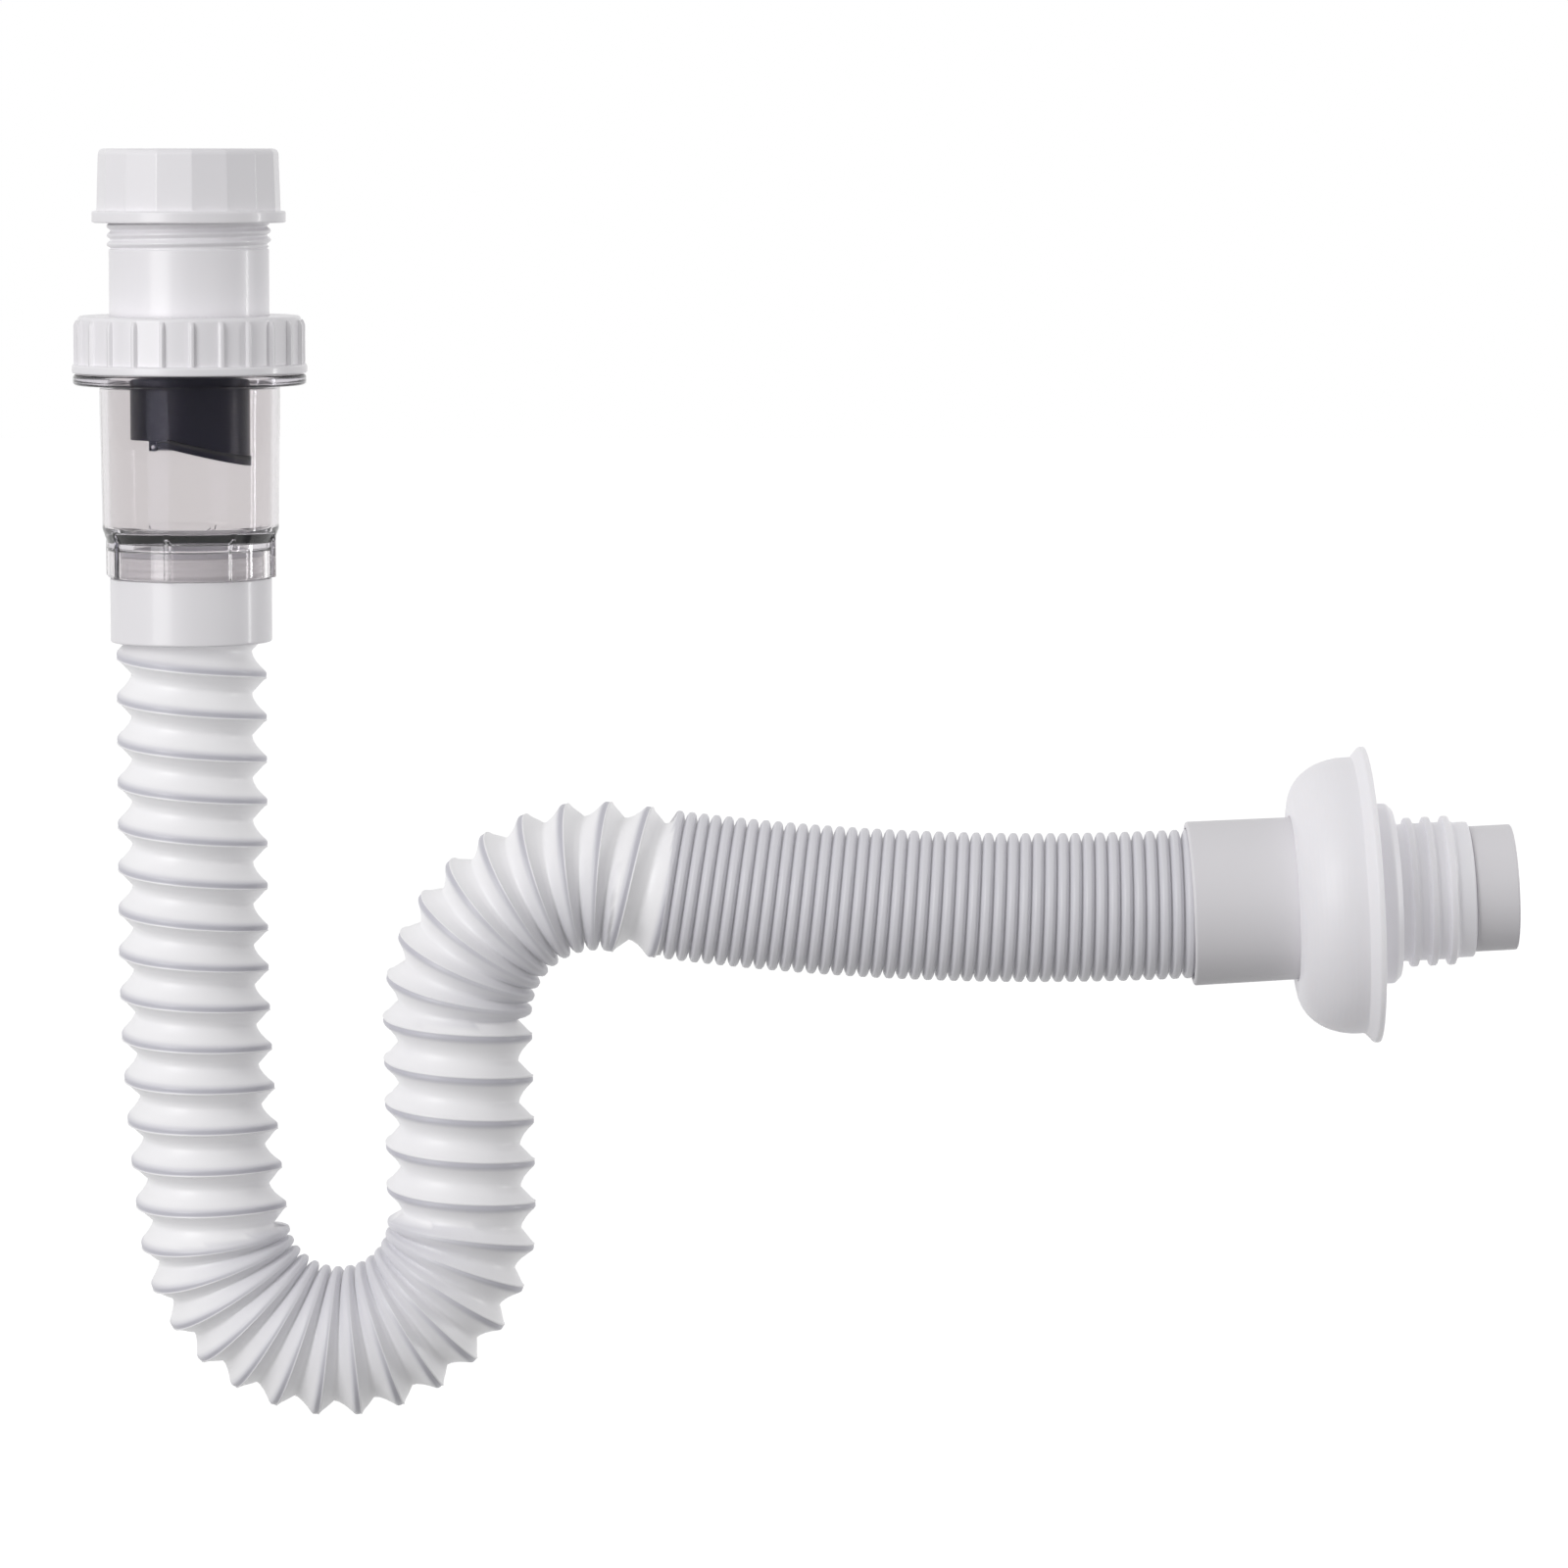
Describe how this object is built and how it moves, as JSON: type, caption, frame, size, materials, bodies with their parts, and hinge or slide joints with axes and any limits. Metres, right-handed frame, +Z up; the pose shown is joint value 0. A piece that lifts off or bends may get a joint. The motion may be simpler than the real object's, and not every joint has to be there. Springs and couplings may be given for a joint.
{
  "type": "flexible drain pipe",
  "caption": "Stretchable basin drain pipe: nut inlet, clear cup with a flap valve, spiral-folded hose bent into a water trap, and a spigot outlet with a bell-shaped wall seal.",
  "frame": {"origin": "centre of the inlet tube's mouth, where the basin's tailpiece enters", "axes": "+Z up along the inlet's axis, +X from the inlet towards the outlet, the hose in the XZ plane"},
  "size_m": [0.3674, 0.0754, 0.3238],
  "materials": {
    "white_plastic": "gloss",
    "hose_plastic": "satin",
    "grey_white_plastic": "satin",
    "clear_plastic": "gloss",
    "navy_plastic": "satin",
    "black_rubber": "matte",
    "milky_silicone": "satin",
    "steel": "polished"
  },
  "bodies": {
    "inlet": {"inlet_tube": "white_plastic", "inlet_gasket": "black_rubber"},
    "inlet_washer": {"inlet_washer": "black_rubber"},
    "inlet_nut": {"inlet_nut": "white_plastic"},
    "ring_nut": {"ring_nut": "white_plastic"},
    "cup": {"clear_cup": "clear_plastic", "valve_core": "navy_plastic", "flap_pin": "steel", "flap_spring": "steel"},
    "flap": {"flap": "navy_plastic", "flap_seal": "black_rubber"},
    "cuff_gasket": {"cuff_gasket": "black_rubber"},
    "hose": {"hose_cuff": "white_plastic", "hose": "hose_plastic"},
    "outlet": {"outlet_cuff": "grey_white_plastic"},
    "wall_seal": {"wall_seal": "milky_silicone"}
  },
  "joints": [
    {"name": "washer_lift", "type": "slide", "parent": "inlet", "child": "inlet_washer", "axis": [0, 0, 1], "range_m": [0, 0.0116]},
    {"name": "nut_turn", "type": "hinge", "parent": "inlet_washer", "child": "inlet_nut", "pos_m": [0, 0, 0], "axis": [0, 0, 1], "range_deg": [0, 1800]},
    {"name": "ring_turn", "type": "hinge", "parent": "inlet", "child": "ring_nut", "pos_m": [0, 0, -0.0425], "axis": [0, 0, 1], "range_deg": [0, 1080]},
    {"name": "cup_drop", "type": "slide", "parent": "inlet", "child": "cup", "axis": [0, 0, -1], "range_m": [0, 0.0076]},
    {"name": "flap_swing", "type": "hinge", "parent": "cup", "child": "flap", "pos_m": [-0.008, 0, -0.068], "axis": [0, 1, 0], "range_deg": [0, 60], "stiffness_Nm_per_rad": 0.0002, "springref_deg": -85.94, "deforming": ["flap_spring"]},
    {"name": "gasket_drop", "type": "slide", "parent": "cup", "child": "cuff_gasket", "axis": [0, 0, -1], "range_m": [0, 0.0061]},
    {"name": "hose_turn", "type": "hinge", "parent": "cuff_gasket", "child": "hose", "pos_m": [0, 0, -0.0985], "axis": [0, 0, -1], "range_deg": [0, 1080]},
    {"name": "outlet_pull", "type": "slide", "parent": "hose", "child": "outlet", "axis": [0.9986, 0, 0.0523], "range_m": [0, 0.22], "deforming": ["hose"]},
    {"name": "seal_slide", "type": "slide", "parent": "outlet", "child": "wall_seal", "axis": [0.9986, 0, 0.0523], "range_m": [0, 0.058]}
  ],
  "couplings": [
    {"joint": "washer_lift", "follows": "nut_turn", "m_per_rad": 0.00036606},
    {"joint": "cup_drop", "follows": "ring_turn", "m_per_rad": 0.00039789},
    {"joint": "gasket_drop", "follows": "hose_turn", "m_per_rad": 0.00031831}
  ]
}
